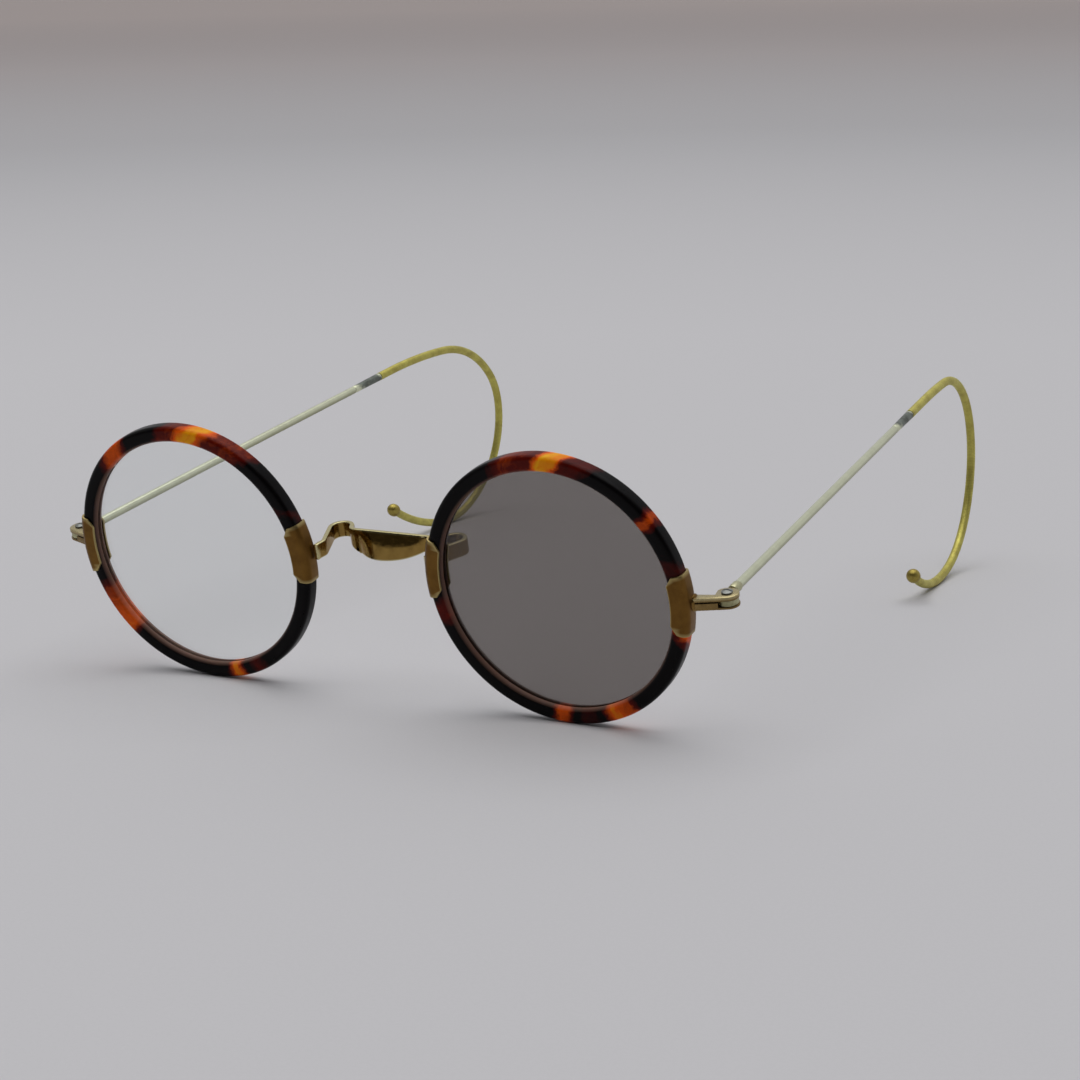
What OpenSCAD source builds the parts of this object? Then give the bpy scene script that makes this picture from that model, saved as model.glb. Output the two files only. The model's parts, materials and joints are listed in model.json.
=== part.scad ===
// Round-eye spectacles with cable temples, standing open on a table.
// Left and right are the wearer's own: left is +X. The lenses face -Y and the
// temples run back along +Y. Everything is drawn in the front's own plane and
// then leaned forward until the rims and the ear curls stand on Z = 0.

/* [Rims and lenses] */
// Distance between the middles of the two rims
rim_spacing = 64.1; // [60:0.1:70]
// Outer diameter of a rim
rim_d = 42.6; // [38:0.1:46]
// Width of the rim seen from the front
rim_width = 2.5; // [2:0.05:3.2]
// Depth of the rim from front to back
rim_depth = 2.9; // [2.4:0.05:3.6]
// Radius of the rim's rounded edges
rim_round = 0.8; // [0.5:0.05:0.9]
// How far the lens edge sits in the rim's groove
lens_grip = 0.6; // [0.4:0.05:0.9]
// Thickness of the lens at its edge
lens_edge = 1.1; // [0.9:0.05:1.4]
// Radius of the lens's domed front face
lens_front_r = 250; // [220:2:600]
// Radius of the lens's hollow back face
lens_back_r = 262; // [220:2:600]

/* [Clamps] */
// Thickness of the brass sheet
clamp_sheet = 0.35; // [0.25:0.05:0.5]
// Length of a clamp along the rim
clamp_length = 9.6; // [7:0.1:12]
// How far a clamp's flanges reach in from the rim's outer edge
clamp_reach = 2.3; // [1.6:0.05:2.4]
// Size of the cut corners of the flanges
clamp_corner = 1.1; // [0.4:0.1:1.4]
// Height of the nose-side clamps above the middle of the rims
nose_clamp_rise = 2; // [0:0.1:4]

/* [Bridge] */
// Thickness of the bridge band
band_thick = 0.7; // [0.5:0.05:0.9]
// Height of the band's top edge above the middle of the rims
band_top = 3; // [2:0.1:4]
// Height of the band where it loops
band_height = 2.5; // [1.8:0.1:3]
// Distance from the middle of the front back to the crest of the bridge
crest_back = 7.4; // [6:0.1:9]
// Distance between the middles of the two loops
loop_spacing = 20.6; // [18:0.1:22]
// Radius of a loop at the middle of the band
loop_r = 2.1; // [1.8:0.05:2.6]
// How far the loops and the crest sit towards the left rim
bridge_offset = 0.4; // [0:0.1:1]
// Height of the crest at its deepest
crest_height = 4.3; // [3.6:0.1:5.4]
// Place of the crest's lowest point, to the right of the middle
crest_low = 2.5; // [0:0.1:4]
// Radius of the crest's lower edge
crest_edge_r = 19; // [15:0.5:30]
// How far the crest's face swells forward
crest_swell = 1; // [0.4:0.05:1.2]
// Length of the swollen face of the crest
crest_length = 11.4; // [9:0.1:12]

/* [Hinges] */
// Distance from the outside of a rim out to the hinge screw
hinge_out = 4.35; // [4:0.05:6]
// Distance from the middle of the front back to the hinge screw
hinge_back = 3.2; // [2.9:0.05:4]
// Radius of the round eye at the end of the hinge arm
eye_r = 1.75; // [1.6:0.05:2.1]
// Width of the arm where it leaves the clamp
arm_width = 1.7; // [1.4:0.05:1.9]
// Height of the arm's top face above the middle of the rims
arm_top = 0.7; // [0.5:0.05:1]
// Height of the whole arm
arm_height = 1.9; // [1.7:0.05:2.4]
// Thickness of the upper leaf of the fork
upper_leaf = 0.65; // [0.5:0.05:0.8]
// Thickness of the temple's tongue in the fork
tongue_thick = 0.8; // [0.6:0.05:0.85]
// Radius of the tongue's round end
tongue_r = 1.6; // [1.1:0.05:1.6]
// Diameter of the hinge screw's shank
screw_d = 1; // [0.8:0.05:1.1]
// Diameter of the hinge screw's head
screw_head_d = 1.7; // [1.4:0.05:2]

/* [Temples] */
// Diameter of the straight wire
wire_d = 1.35; // [1.2:0.05:1.6]
// Diameter of the wound ear cable
cable_d = 1.5; // [1.35:0.05:1.8]
// Diameter of the core wire inside the cable, the splice and the butt
core_d = 0.9; // [0.7:0.05:1]
// Distance from the hinge screw to the near end of the splice
splice_from = 78.4; // [70:0.1:90]
// Length of the soldered splice sleeve
splice_length = 8.5; // [6:0.5:10]
// Diameter of the splice sleeve
splice_d = 1.46; // [1.35:0.01:1.8]
// Diameter of the ball at the end of the cable
ball_d = 2.8; // [2.2:0.1:3.4]

/* [Left temple] */
// Height of the left wire above the middle of the rims, at the hinge
left_rise = 0.2; // [-0.3:0.05:0.4]
// Angle the left temple leans in towards the head
left_toe = 3.9; // [0:0.05:8]
// Angle the left temple drops below square to the front
left_droop = 4.05; // [2:0.05:6]
// Angle the left curl leans over, bottom inwards
left_cant = 1.8; // [-8:0.1:8]
// Straight length of the left cable between the splice and the first bend
left_straight = 9; // [0.5:0.1:12]
// Radii of the left curl's bends, from the splice to the ball
left_radii = [158, 18.8, 17.4, 28]; // [10:0.1:300]
// Angle turned in each bend of the left curl
left_turns = [4, 41.3, 126.2, 45]; // [0:0.1:150]

/* [Right temple] */
// Height of the right wire above the middle of the rims, at the hinge
right_rise = -0.2; // [-0.3:0.05:0.4]
// Angle the right temple leans in towards the head
right_toe = 2.1; // [0:0.05:8]
// Angle the right temple drops below square to the front
right_droop = 3.35; // [2:0.05:6]
// Angle the right curl leans over, bottom inwards
right_cant = -6.4; // [-8:0.1:8]
// Straight length of the right cable between the splice and the first bend
right_straight = 3.9; // [0.5:0.1:12]
// Radii of the right curl's bends, from the splice to the ball
right_radii = [121, 27.9, 16.5, 49.9]; // [10:0.1:300]
// Angle turned in each bend of the right curl
right_turns = [8.7, 42.7, 142.3, 23]; // [0:0.1:150]

/* [Stance] */
// Angle the front leans forward when the spectacles stand open on a table
front_lean = 12; // [8:0.1:16]

/* [Hidden] */
$fn = 48;
left = 1;
right = -1;
// Play between pieces that are clamped, pushed or soldered together
snug = 0.02;
// Play of the screw in the tongue, and of the tongue between the leaves
running = 0.05;

rim_r = rim_d / 2;
rim_mid_r = rim_r - rim_width / 2;
rim_in_r = rim_r - rim_width;
lens_r = rim_in_r + lens_grip;
web_r = rim_r + snug + clamp_sheet;
clamp_angle = clamp_length / rim_r * 180 / PI;
nose_clamp_angle = asin(nose_clamp_rise / rim_r);
hinge_x = rim_spacing / 2 + rim_r + hinge_out;
tongue_top = arm_top - upper_leaf - running;
butt_from = eye_r + 0.2;
butt_length = 2.2;
butt_d = core_d + 0.7;
socket_depth = 1.5;
screw_head_h = 0.45;
screw_slot = 0.22;
ball_grip = 1.1;
lens_steps = 14;
// The bends of a cable leave this slit between them, bridged by pegs sunk in their ends
slit = 0.004;
peg_length = 0.6;
peg_wall = 0.16;

function side_of(side, l, r) = side > 0 ? l : r;
function rise(side) = side_of(side, left_rise, right_rise);
function toe(side) = side_of(side, left_toe, right_toe);
function droop(side) = side_of(side, left_droop, right_droop);
function cant(side) = side_of(side, left_cant, right_cant);
function straight(side) =
    splice_from + splice_length + side_of(side, left_straight, right_straight);
function radii(side) = side_of(side, left_radii, right_radii);
function turns(side) = side_of(side, left_turns, right_turns);

// Tilt, lift and centring that stand the spectacles on Z = 0
lean_sin = sin(front_lean);
lean_cos = cos(front_lean);
rim_reach = rim_r - rim_round;
rim_half = rim_depth / 2 - rim_round;
rim_low = -(rim_reach * lean_cos + rim_half * lean_sin + rim_round);
rim_front = -(rim_reach * lean_sin + rim_half * lean_cos + rim_round);
curl_low = min([for (p = both_curls()) p[1] * lean_sin + p[2] * lean_cos]) - cable_d / 2;
curl_rear = max([for (p = both_curls()) p[1] * lean_cos - p[2] * lean_sin]) + cable_d / 2;
lift = -min(rim_low, curl_low);
mid_y = (rim_front + curl_rear) / 2;

// A bend starts at [along, up, heading] and turns down through an angle
function bend_end(p, r, a) =
    [p[0] + r * (sin(p[2]) - sin(p[2] - a)), p[1] + r * (cos(p[2] - a) - cos(p[2])), p[2] - a];
function bend_starts(side, i = 0, p = undef) =
    let (start = is_undef(p) ? [straight(side), 0, 0] : p)
    i == len(radii(side)) ? [start]
    : concat([start], bend_starts(side, i + 1, bend_end(start, radii(side)[i], turns(side)[i])));
function curl_points(side, steps = 32) =
    let (starts = bend_starts(side))
    [for (i = [0:len(radii(side)) - 1], k = [0:steps])
        bend_end(starts[i], radii(side)[i], turns(side)[i] * k / steps)];

// The same points in the front's frame, for the left or the mirrored right side
function temple_along(side) =
    [-sin(toe(side)) * cos(droop(side)), cos(toe(side)) * cos(droop(side)), -sin(droop(side))];
function temple_up(side) =
    let (t = toe(side), d = droop(side), c = cant(side))
    [sin(c) * cos(t) - cos(c) * sin(d) * sin(t),
     sin(c) * sin(t) + cos(c) * sin(d) * cos(t), cos(c) * cos(d)];
function both_curls() =
    [for (side = [left, right], p = curl_points(side))
        [hinge_x, hinge_back, rise(side)] + p[0] * temple_along(side) + p[1] * temple_up(side)];

// Points along an arc, and the angle at which a line from a point meets a circle on its right
function arc(c, r, from, to, steps) =
    [for (i = [0:steps]) let (a = from + (to - from) * i / steps) c + r * [cos(a), sin(a)]];
function touch_angle(p, c, r) =
    let (d = c - p) atan2(d[1], d[0]) - asin(r / norm(d)) - 90;

module stand() translate([0, -mid_y, lift]) rotate([front_lean, 0, 0]) children();

module on_side(side) mirror([side < 0 ? 1 : 0, 0, 0]) children();

// Local X points out from the middle of an eye, Y up and Z forward
module eye_frame(side)
    stand() on_side(side) translate([rim_spacing / 2, 0, 0]) rotate([90, 0, 0]) children();

module hinge_frame(side) stand() on_side(side) translate([hinge_x, hinge_back, 0]) children();

// Local Y runs along the temple wire and Z up across it
module temple_frame(side)
    hinge_frame(side) translate([0, 0, rise(side)])
        rotate([0, 0, toe(side)]) rotate([-droop(side), 0, 0]) rotate([0, cant(side), 0]) children();

module rod(from, to, d) translate([0, from, 0]) rotate([-90, 0, 0]) cylinder(d = d, h = to - from);

module rounded(w, h, r) {
    square([w - 2 * r, h], center = true);
    square([w, h - 2 * r], center = true);
    for (x = [-1, 1], y = [-1, 1]) translate([x * (w / 2 - r), y * (h / 2 - r)]) circle(r);
}

module rim_section(grow = 0)
    translate([rim_mid_r, 0]) rounded(rim_width + 2 * grow, rim_depth + 2 * grow, rim_round + grow);

// Half section of the lens: a domed front, a hollow back and an edge bevelled both ways
function dome(curve_r, r) =
    let (flat_r = lens_r - lens_edge / 2)
    sqrt(curve_r * curve_r - r * r) - sqrt(curve_r * curve_r - flat_r * flat_r);
module lens_section(grow = 0) {
    edge_r = lens_r + grow * sqrt(2);
    bevel_r = edge_r - lens_edge / 2 - grow;
    half = lens_edge / 2 + grow;
    radii = [for (i = [0:lens_steps]) bevel_r * i / lens_steps];
    polygon(concat([for (r = radii) [r, dome(lens_front_r, r) + half]], [[edge_r, 0]],
                   [for (r = reversed(radii)) [r, dome(lens_back_r, r) - half]]));
}

module rim(side)
    color("#4a1c0a") eye_frame(side) rotate_extrude() difference() {
        rim_section();
        lens_section(snug);
    }

module lens(side, tint) color(tint) eye_frame(side) rotate_extrude() lens_section();

module clamp(side, middle) {
    corner = clamp_corner * sqrt(2);
    past = rim_depth * 2;
    color("#8a6a32") eye_frame(side) rotate([0, 0, middle - clamp_angle / 2]) difference() {
        rotate_extrude(angle = clamp_angle) intersection() {
            difference() {
                rim_section(snug + clamp_sheet);
                rim_section(snug);
            }
            translate([rim_r - clamp_reach, -past / 2]) square([rim_width * 2, past]);
        }
        for (end = [0, clamp_angle])
            rotate([0, 0, end]) translate([rim_r - clamp_reach, 0, 0]) rotate([0, 0, 45])
                cube([corner, corner, past], center = true);
    }
}

// The bridge in plan: a foot on each nose clamp, a loop behind the rim, and the crest
blend_r = 1;
loop_end = 165;
foot_x = rim_spacing / 2 - web_r - snug - band_thick / 2;
foot_front = -0.6;
foot_rear = rim_depth / 2 + clamp_sheet + snug + 0.3;
crest_middle = (crest_end(left) - crest_end(right)) / 2;
loop_back = crest_back + blend_r - (loop_r + blend_r) * sin(loop_end);
function loop_x(side) = loop_spacing / 2 + side * bridge_offset;
function crest_end(side) = loop_x(side) + (loop_r + blend_r) * cos(loop_end);
function half_band(side) =
    let (foot = [foot_x, foot_rear], c = [loop_x(side), loop_back],
         points = concat([[foot_x, foot_front], foot],
                         arc(c, loop_r, touch_angle(foot, c, loop_r), loop_end, 20),
                         arc([crest_end(side), crest_back + blend_r], blend_r, loop_end - 190, -90, 7)))
    [for (p = points) [side * p[0], p[1]]];
function reversed(list) = [for (i = [len(list) - 1:-1:0]) list[i]];
function ribbon(path, thick) =
    let (last = len(path) - 1,
         across = [for (i = [0:last])
             let (d = path[min(i + 1, last)] - path[max(i - 1, 0)]) [-d[1], d[0]] / norm(d)])
    concat([for (i = [0:last]) path[i] + across[i] * thick / 2],
           [for (i = [last:-1:0]) path[i] - across[i] * thick / 2]);

module band_plan() polygon(ribbon(concat(half_band(left), reversed(half_band(right))), band_thick));

// The bridge seen from the front: a narrow band that deepens along the crest
module band_face() {
    loop_low = band_top - band_height;
    crest_bottom = band_top - crest_height;
    far = loop_spacing;
    translate([-far, loop_low]) square([2 * far, band_height]);
    intersection() {
        translate([-crest_low, crest_bottom + crest_edge_r]) circle(crest_edge_r, $fn = 180);
        polygon([[-crest_end(right) - 1.2, loop_low], [-crest_end(right) + 0.6, crest_bottom - 0.1],
                 [crest_end(left) - 0.6, crest_bottom - 0.1], [crest_end(left) + 1.2, loop_low],
                 [crest_end(left), band_top], [-crest_end(right), band_top]]);
    }
}

// The swollen front of the crest, round both across and up and down, and fullest near its lower
// edge, so that the crest slopes as the nose does
module crest_face() {
    face_back = crest_back - band_thick / 2;
    half_height = crest_height * 0.9;
    plan_r = (pow(crest_length / 2, 2) + pow(crest_swell, 2)) / (2 * crest_swell);
    rise_r = (pow(half_height, 2) + pow(crest_swell, 2)) / (2 * crest_swell);
    intersection() {
        translate([crest_middle, face_back - crest_swell + plan_r, band_top - crest_height * 0.8])
            rotate([0, 0, -120]) rotate_extrude(angle = 60, $fn = 240) intersection() {
                translate([plan_r - rise_r, 0]) circle(rise_r, $fn = 120);
                translate([plan_r / 2, -rise_r]) square([plan_r, 2 * rise_r]);
            }
        translate([crest_middle - crest_length, crest_back - crest_length, -2 * crest_height])
            cube([2 * crest_length, crest_length - band_thick / 4, 4 * crest_height]);
    }
}

module bridge()
    color("#a98a45") stand() intersection() {
        union() {
            translate([0, 0, -2 * crest_height]) linear_extrude(4 * crest_height) band_plan();
            crest_face();
        }
        translate([0, 4 * crest_back, 0]) rotate([90, 0, 0]) linear_extrude(8 * crest_back) band_face();
    }

// The arm from the hinge-side clamp out to the fork that holds the temple's tongue
arm_start = [rim_spacing / 2 + web_r + snug - hinge_x, -hinge_back];
module arm_plan() {
    touch = touch_angle(arm_start, [0, 0], eye_r);
    along = [cos(touch + 90), sin(touch + 90)];
    circle(eye_r);
    polygon([arm_start, eye_r * [cos(touch), sin(touch)], [0, 0],
             arm_start + [0, 0.8 * arm_width] + along * (norm(arm_start) - eye_r * 1.4),
             arm_start + [0, arm_width]]);
}

module fork_gap() {
    far = 3 * eye_r;
    translate([0, 0, tongue_top - tongue_thick - running]) {
        cylinder(r = tongue_r + 2 * running, h = tongue_thick + 2 * running);
        translate([-eye_r / 3, -far, 0]) cube([2 * far, 2 * far, tongue_thick + 2 * running]);
        translate([-far, -0.65 * tongue_r, 0]) cube([2 * far, 2 * far, tongue_thick + 2 * running]);
    }
}

module hinge_arm(side)
    color("#a98a45") hinge_frame(side) difference() {
        translate([0, 0, arm_top - arm_height]) linear_extrude(arm_height) arm_plan();
        fork_gap();
        translate([0, 0, arm_top - 2 * arm_height]) cylinder(d = screw_d + 2 * snug, h = 3 * arm_height);
    }

module hinge_screw(side)
    color("silver") hinge_frame(side) translate([0, 0, arm_top]) {
        translate([0, 0, -arm_height]) cylinder(d = screw_d, h = arm_height + screw_head_h / 2);
        difference() {
            intersection() {
                cylinder(d = screw_head_d, h = screw_head_h);
                translate([0, 0, screw_head_h - screw_head_d]) sphere(screw_head_d);
            }
            translate([-screw_head_d, -screw_slot / 2, screw_head_h / 2])
                cube([2 * screw_head_d, screw_slot, screw_head_h]);
        }
    }

module butt(side)
    color("#c9c59a") difference() {
        union() {
            hinge_frame(side) translate([0, 0, tongue_top - tongue_thick]) {
                cylinder(r = tongue_r, h = tongue_thick);
                rotate([0, 0, toe(side)]) translate([-butt_d / 2 + running, 0, 0])
                    cube([butt_d - 2 * running, butt_from + butt_length / 2, tongue_thick]);
            }
            temple_frame(side) rod(butt_from, butt_from + butt_length, butt_d);
        }
        hinge_frame(side) translate([0, 0, -arm_height * 2])
            cylinder(d = screw_d + 2 * running, h = arm_height * 4);
        temple_frame(side)
            rod(butt_from + butt_length - socket_depth, butt_from + 2 * butt_length, core_d + 2 * snug);
    }

module wire(side)
    color("#c8cab0") temple_frame(side) {
        rod(butt_from + butt_length + snug, splice_from, wire_d);
        rod(butt_from + butt_length - socket_depth + snug, splice_from + splice_length / 2 - snug, core_d);
    }

module splice(side)
    color("#5c6058") temple_frame(side) difference() {
        rod(splice_from + snug, splice_from + splice_length, splice_d);
        rod(splice_from - splice_length, splice_from + 2 * splice_length, core_d + 2 * snug);
    }

// Carries its first child's section round the bends of a curl, each bend starting where the last
// one ended, and puts its second child across the joints
module curl(side) {
    starts = bend_starts(side);
    last = len(radii(side)) - 1;
    for (i = [0:last]) let (r = radii(side)[i], gap = i < last ? slit / r * 180 / PI : 0)
        translate([0, starts[i][0], starts[i][1]]) rotate([starts[i][2], 0, 0]) {
            translate([0, 0, -r]) rotate([0, -90, 0])
                rotate_extrude(angle = turns(side)[i] - gap, $fn = 96) translate([r, 0]) children(0);
            if (i > 0) children(1);
        }
}

module curl_end(side) {
    end = bend_starts(side)[len(radii(side))];
    translate([0, end[0], end[1]]) rotate([end[2], 0, 0]) children();
}

module cable_core(side)
    color("#b0a868") temple_frame(side) {
        rod(splice_from + splice_length / 2 + snug, straight(side), core_d);
        curl(side) {
            circle(d = core_d, $fn = 32);
            rod(-peg_length / 2, peg_length / 2, core_d - peg_wall);
        }
        curl_end(side) rod(-peg_length / 2, ball_grip - snug, core_d - peg_wall);
    }

module cable(side)
    color("#a9a24e") temple_frame(side) {
        difference() {
            rod(splice_from + splice_length + snug, straight(side), cable_d);
            rod(splice_from, straight(side) + cable_d, core_d + 2 * snug);
        }
        curl(side) {
            difference() {
                circle(d = cable_d, $fn = 32);
                circle(d = core_d + 2 * snug, $fn = 32);
            }
            difference() {
                rod(-peg_length / 2, peg_length / 2, cable_d - peg_wall);
                rod(-peg_length, peg_length, core_d + peg_wall);
            }
        }
    }

// The ball is cut flat where the cable's end seats on it
module ball(side)
    color("#a9a24e") temple_frame(side) curl_end(side) difference() {
        translate([0, sqrt(ball_d * ball_d - cable_d * cable_d) / 2, 0]) sphere(d = ball_d);
        translate([-ball_d, snug - 2 * ball_d, -ball_d]) cube(2 * ball_d);
        rod(-ball_d, ball_grip, core_d - peg_wall + 2 * snug);
    }

rim(left);  // left_rim
rim(right);  // right_rim
lens(left, "#4a4846");  // left_lens
lens(right, "#dfe6e6");  // right_lens
clamp(left, 180 - nose_clamp_angle);  // left_nose_clamp
clamp(right, 180 - nose_clamp_angle);  // right_nose_clamp
clamp(left, 0);  // left_hinge_clamp
clamp(right, 0);  // right_hinge_clamp
bridge();
hinge_arm(left);  // left_hinge_arm
hinge_arm(right);  // right_hinge_arm
hinge_screw(left);  // left_hinge_screw
hinge_screw(right);  // right_hinge_screw
butt(left);  // left_butt
butt(right);  // right_butt
wire(left);  // left_wire
wire(right);  // right_wire
splice(left);  // left_splice
splice(right);  // right_splice
cable_core(left);  // left_cable_core
cable_core(right);  // right_cable_core
cable(left);  // left_cable
cable(right);  // right_cable
ball(left);  // left_ball
ball(right);  // right_ball
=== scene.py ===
import json
from math import asin, atan2, cos, degrees, pi, radians, sin, sqrt, tau
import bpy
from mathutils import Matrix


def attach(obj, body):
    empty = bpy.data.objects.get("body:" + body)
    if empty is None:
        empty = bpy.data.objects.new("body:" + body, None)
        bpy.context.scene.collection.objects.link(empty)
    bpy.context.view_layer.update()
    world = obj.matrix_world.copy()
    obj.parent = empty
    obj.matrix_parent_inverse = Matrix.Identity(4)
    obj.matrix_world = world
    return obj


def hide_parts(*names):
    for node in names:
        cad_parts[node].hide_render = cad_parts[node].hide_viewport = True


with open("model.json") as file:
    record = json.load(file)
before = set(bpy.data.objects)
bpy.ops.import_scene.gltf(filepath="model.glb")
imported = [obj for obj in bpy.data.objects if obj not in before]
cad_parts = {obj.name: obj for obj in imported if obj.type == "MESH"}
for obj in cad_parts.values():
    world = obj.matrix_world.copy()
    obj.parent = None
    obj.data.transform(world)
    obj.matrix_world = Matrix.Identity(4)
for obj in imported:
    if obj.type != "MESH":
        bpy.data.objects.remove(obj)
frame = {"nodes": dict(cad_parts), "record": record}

from types import SimpleNamespace

import bmesh
import bpy
from bmesh.types import BMEdge, BMVert
from mathutils import Matrix, Vector

bl_info = {
    "name": "Round-eye spectacles",
    "version": (1, 0, 0),
    "blender": (4, 5, 0),
    "location": "View3D > Sidebar > Spectacles",
    "description": "Dresses the spectacles' solids: mottled rims, lenses, worn brass and wound ear cables",
    "category": "Add Mesh",
}

SIDES = LEFT, RIGHT = 1, -1
UPRIGHT = Matrix.Rotation(radians(90), 4, "X")
SCRATCH = 0.00002  # depth of the scratches in metal, in metres
# Patches round each rim, seen from the front: first and last degree, the tone at each of them from black (0)
# to amber (1), how many degrees their borders take, and whether those are raked or square to the rim.
PATCHES = {
    LEFT: [(8, 24, 0.3, 0.36, 6, True), (34, 40, 0.76, 0.74, 4, False), (66, 115, 0.36, 0.48, 6, True),
           (80, 94, 0.76, 0.96, 4, True), (103, 110, 0.54, 0.54, 5, True), (187, 202, 0.44, 0.42, 5, False),
           (262, 272, 0.7, 0.62, 3, False), (273, 287, 0.3, 0.3, 4, False), (288, 306, 0.86, 0.48, 4, False),
           (344, 372, 0.66, 0.5, 4, True), (-16, 9, 0.66, 0.4, 4, True)],
    RIGHT: [(20, 31, 0.34, 0.34, 6, True), (52, 101, 0.46, 0.44, 4, True), (73, 91, 0.92, 0.82, 6, True),
            (118, 137, 0.64, 0.6, 6, True), (197, 227, 0.46, 0.76, 5, False),
            (279, 287, 0.84, 0.76, 3, False), (290, 302, 0.42, 0.38, 5, False)],
}
HINGE = next(j for j in frame["record"]["behaviour"]["joints"] if j["name"] == "left_temple_hinge")


def size(name, description, mm):
    return bpy.props.FloatProperty(name=name, description=description, default=mm / 1000, unit="LENGTH",
                                   subtype="DISTANCE", precision=5)


def turn(name, description, degrees):
    return bpy.props.FloatProperty(name=name, description=description, default=radians(degrees),
                                   unit="ROTATION", subtype="ANGLE")


def paint(name, description, srgb):
    return bpy.props.FloatVectorProperty(name=name, description=description, size=3, min=0, max=1,
                                         default=linear(srgb)[:3], subtype="COLOR")


def bends(name, description, radii):
    return bpy.props.FloatVectorProperty(name=name, description=description, size=4, unit="LENGTH",
                                         default=[r / 1000 for r in radii])


def turned(name, description, degrees):
    return bpy.props.FloatVectorProperty(name=name, description=description, size=4, unit="ROTATION",
                                         default=[radians(d) for d in degrees])


def linear(srgb):
    """Turns a colour written as 0 to 255 into the linear numbers that shaders take."""
    parts = [c / 255 for c in srgb]
    return tuple([c / 12.92 if c <= 0.04045 else ((c + 0.055) / 1.055) ** 2.4 for c in parts] + [1.0])


class FrontSizes(bpy.types.PropertyGroup):
    """The rims, lenses, clamps and the bridge"""
    rim_spacing: size("Rim spacing", "Distance between the middles of the two rims", 64.1)
    rim_d: size("Rim diameter", "Outer diameter of a rim", 42.6)
    rim_width: size("Rim width", "Width of the rim seen from the front", 2.5)
    rim_depth: size("Rim depth", "Depth of the rim from front to back", 2.9)
    rim_round: size("Rim rounding", "Radius of the rim's rounded edges", 0.8)
    lens_grip: size("Lens grip", "How far the lens edge sits in the rim's groove", 0.6)
    lens_edge: size("Lens edge", "Thickness of the lens at its edge", 1.1)
    lens_front_r: size("Lens front", "Radius of the lens's domed front face", 250)
    lens_back_r: size("Lens back", "Radius of the lens's hollow back face", 262)
    clamp_sheet: size("Clamp sheet", "Thickness of the clamps' brass sheet", 0.35)
    clamp_length: size("Clamp length", "Length of a clamp along the rim", 9.6)
    clamp_reach: size("Clamp reach", "How far a clamp's flanges reach in from the rim's outer edge", 2.3)
    clamp_corner: size("Clamp corner", "Size of the cut corners of the flanges", 1.1)
    nose_clamp_rise: size("Nose clamp rise", "Height of the nose-side clamps above the rims' middle", 2)
    band_thick: size("Band thickness", "Thickness of the bridge band", 0.7)
    band_top: size("Band top", "Height of the band's top edge above the rims' middle", 3)
    band_height: size("Band height", "Height of the band where it loops", 2.5)
    crest_back: size("Crest back", "Distance from the front back to the crest of the bridge", 7.4)
    loop_spacing: size("Loop spacing", "Distance between the middles of the two loops", 20.6)
    loop_r: size("Loop radius", "Radius of a loop at the middle of the band", 2.1)
    bridge_offset: size("Bridge offset", "How far the loops sit towards the left rim", 0.4)
    crest_height: size("Crest height", "Height of the crest at its deepest", 4.3)
    crest_low: size("Crest low point", "Place of the crest's lowest point, right of the middle", 2.5)
    crest_edge_r: size("Crest edge radius", "Radius of the crest's lower edge", 19)
    crest_swell: size("Crest swell", "How far the crest's face swells forward", 1)
    crest_length: size("Crest length", "Length of the swollen face of the crest", 11.4)


class HingeSizes(bpy.types.PropertyGroup):
    """The fork, its screw and the wire that turns in it"""
    hinge_out: size("Hinge out", "Distance from the outside of a rim out to the hinge screw", 4.35)
    hinge_back: size("Hinge back", "Distance from the front's middle back to the hinge screw", 3.2)
    eye_r: size("Eye radius", "Radius of the round eye at the end of the hinge arm", 1.75)
    arm_width: size("Arm width", "Width of the arm where it leaves the clamp", 1.7)
    arm_top: size("Arm top", "Height of the arm's top face above the rims' middle", 0.7)
    arm_height: size("Arm height", "Height of the whole arm", 1.9)
    upper_leaf: size("Upper leaf", "Thickness of the upper leaf of the fork", 0.65)
    tongue_thick: size("Tongue thickness", "Thickness of the temple's tongue in the fork", 0.8)
    tongue_r: size("Tongue radius", "Radius of the tongue's round end", 1.6)
    wire_d: size("Wire diameter", "Diameter of the straight wire", 1.35)
    cable_d: size("Cable diameter", "Diameter of the wound ear cable", 1.5)
    core_d: size("Core diameter", "Diameter of the core wire inside the cable", 0.9)
    splice_from: size("Splice from", "Distance from the hinge screw to the splice", 78.4)
    splice_length: size("Splice length", "Length of the soldered splice sleeve", 8.5)
    splice_d: size("Splice diameter", "Diameter of the splice sleeve", 1.46)
    ball_d: size("Ball diameter", "Diameter of the ball at the end of the cable", 2.8)
    winding: size("Winding", "Distance between two turns of the wound cable", 0.3)


class TempleShape(bpy.types.PropertyGroup):
    """How the two temples are bent"""
    left_rise: size("Left rise", "Height of the left wire above the rims' middle", 0.2)
    left_toe: turn("Left toe-in", "Angle the left temple leans in towards the head", 3.9)
    left_droop: turn("Left droop", "Angle the left temple drops below square to the front", 4.05)
    left_cant: turn("Left cant", "Angle the left curl leans over, bottom inwards", 1.8)
    left_straight: size("Left straight", "Straight cable before the left curl's first bend", 9)
    left_radii: bends("Left bend radii", "Radii of the left curl's bends", (158, 18.8, 17.4, 28))
    left_turns: turned("Left bend angles", "Angles of the left curl's bends", (4, 41.3, 126.2, 45))
    right_rise: size("Right rise", "Height of the right wire above the rims' middle", -0.2)
    right_toe: turn("Right toe-in", "Angle the right temple leans in towards the head", 2.1)
    right_droop: turn("Right droop", "Angle the right temple drops below square to the front", 3.35)
    right_cant: turn("Right cant", "Angle the right curl leans over, bottom inwards", -6.4)
    right_straight: size("Right straight", "Straight cable before the right curl's first bend", 3.9)
    right_radii: bends("Right bend radii", "Radii of the right curl's bends", (121, 27.9, 16.5, 49.9))
    right_turns: turned("Right bend angles", "Angles of the right curl's bends", (8.7, 42.7, 142.3, 23))


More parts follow.
